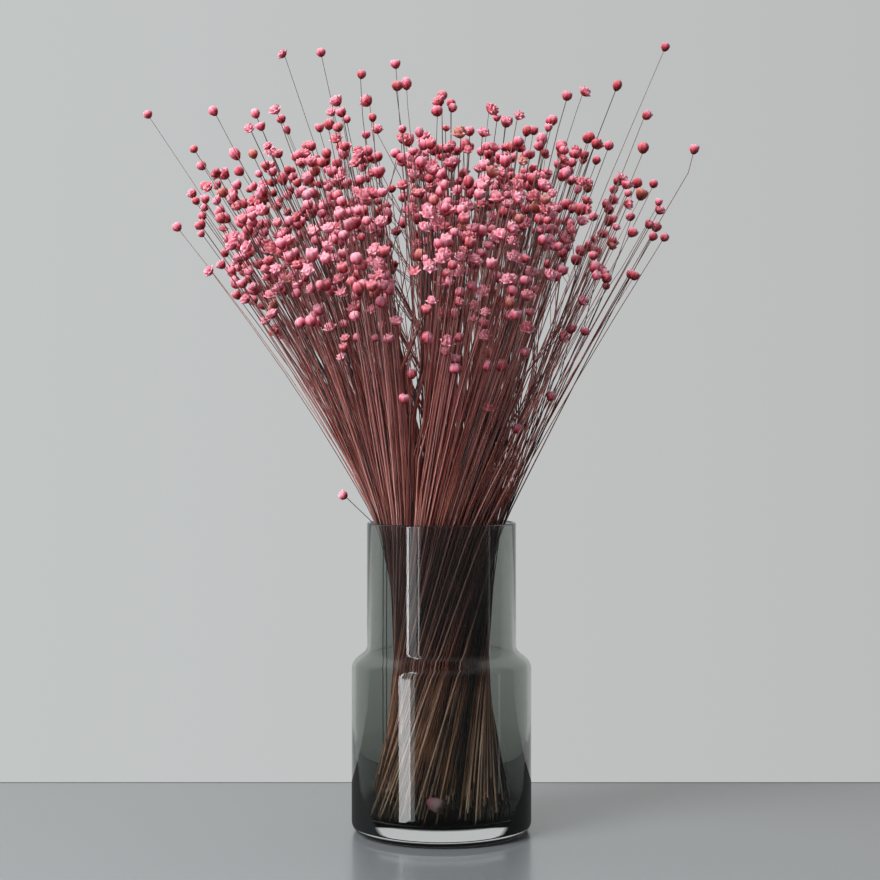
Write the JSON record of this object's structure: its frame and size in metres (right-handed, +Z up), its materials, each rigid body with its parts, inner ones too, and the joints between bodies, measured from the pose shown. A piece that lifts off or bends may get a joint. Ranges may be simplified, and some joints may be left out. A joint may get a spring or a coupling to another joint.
{
  "type": "dried flowers in a vase",
  "caption": "Bunch of dried glixia, thin twisted stems with small rose-pink heads, standing in a smoked glass vase with a stepped shoulder.",
  "frame": {"origin": "centre of the vase's flat underside, on the surface that it stands on", "axes": "+Z up along the vase's axis; +X to the right and -Y towards the viewer in the front view"},
  "size_m": [0.4462, 0.3837, 0.628],
  "materials": {
    "smoked_glass": "gloss",
    "dried_flower": "matte"
  },
  "bodies": {
    "root": {"vase": "smoked_glass", "flower_01": "dried_flower", "flower_02": "dried_flower", "flower_03": "dried_flower", "flower_04": "dried_flower", "flower_05": "dried_flower", "flower_06": "dried_flower", "flower_07": "dried_flower", "flower_08": "dried_flower", "flower_09": "dried_flower", "flower_10": "dried_flower", "flower_11": "dried_flower", "flower_12": "dried_flower", "flower_13": "dried_flower", "flower_14": "dried_flower", "flower_15": "dried_flower", "flower_16": "dried_flower", "flower_17": "dried_flower", "flower_18": "dried_flower", "flower_19": "dried_flower", "flower_20": "dried_flower", "flower_21": "dried_flower", "flower_22": "dried_flower", "flower_23": "dried_flower", "flower_24": "dried_flower", "flower_25": "dried_flower", "flower_26": "dried_flower", "flower_27": "dried_flower", "flower_28": "dried_flower", "flower_29": "dried_flower", "flower_30": "dried_flower", "flower_31": "dried_flower", "flower_32": "dried_flower", "flower_33": "dried_flower", "flower_34": "dried_flower", "flower_35": "dried_flower", "flower_36": "dried_flower", "flower_37": "dried_flower", "flower_38": "dried_flower", "flower_39": "dried_flower", "flower_40": "dried_flower", "flower_41": "dried_flower", "flower_42": "dried_flower", "flower_43": "dried_flower", "flower_44": "dried_flower", "flower_45": "dried_flower", "flower_46": "dried_flower", "flower_47": "dried_flower", "flower_48": "dried_flower", "flower_49": "dried_flower", "flower_50": "dried_flower", "flower_51": "dried_flower", "flower_52": "dried_flower", "flower_53": "dried_flower", "flower_54": "dried_flower", "flower_55": "dried_flower", "flower_56": "dried_flower", "flower_57": "dried_flower", "flower_58": "dried_flower", "fallen_flower_head": "dried_flower"}
  },
  "joints": []
}
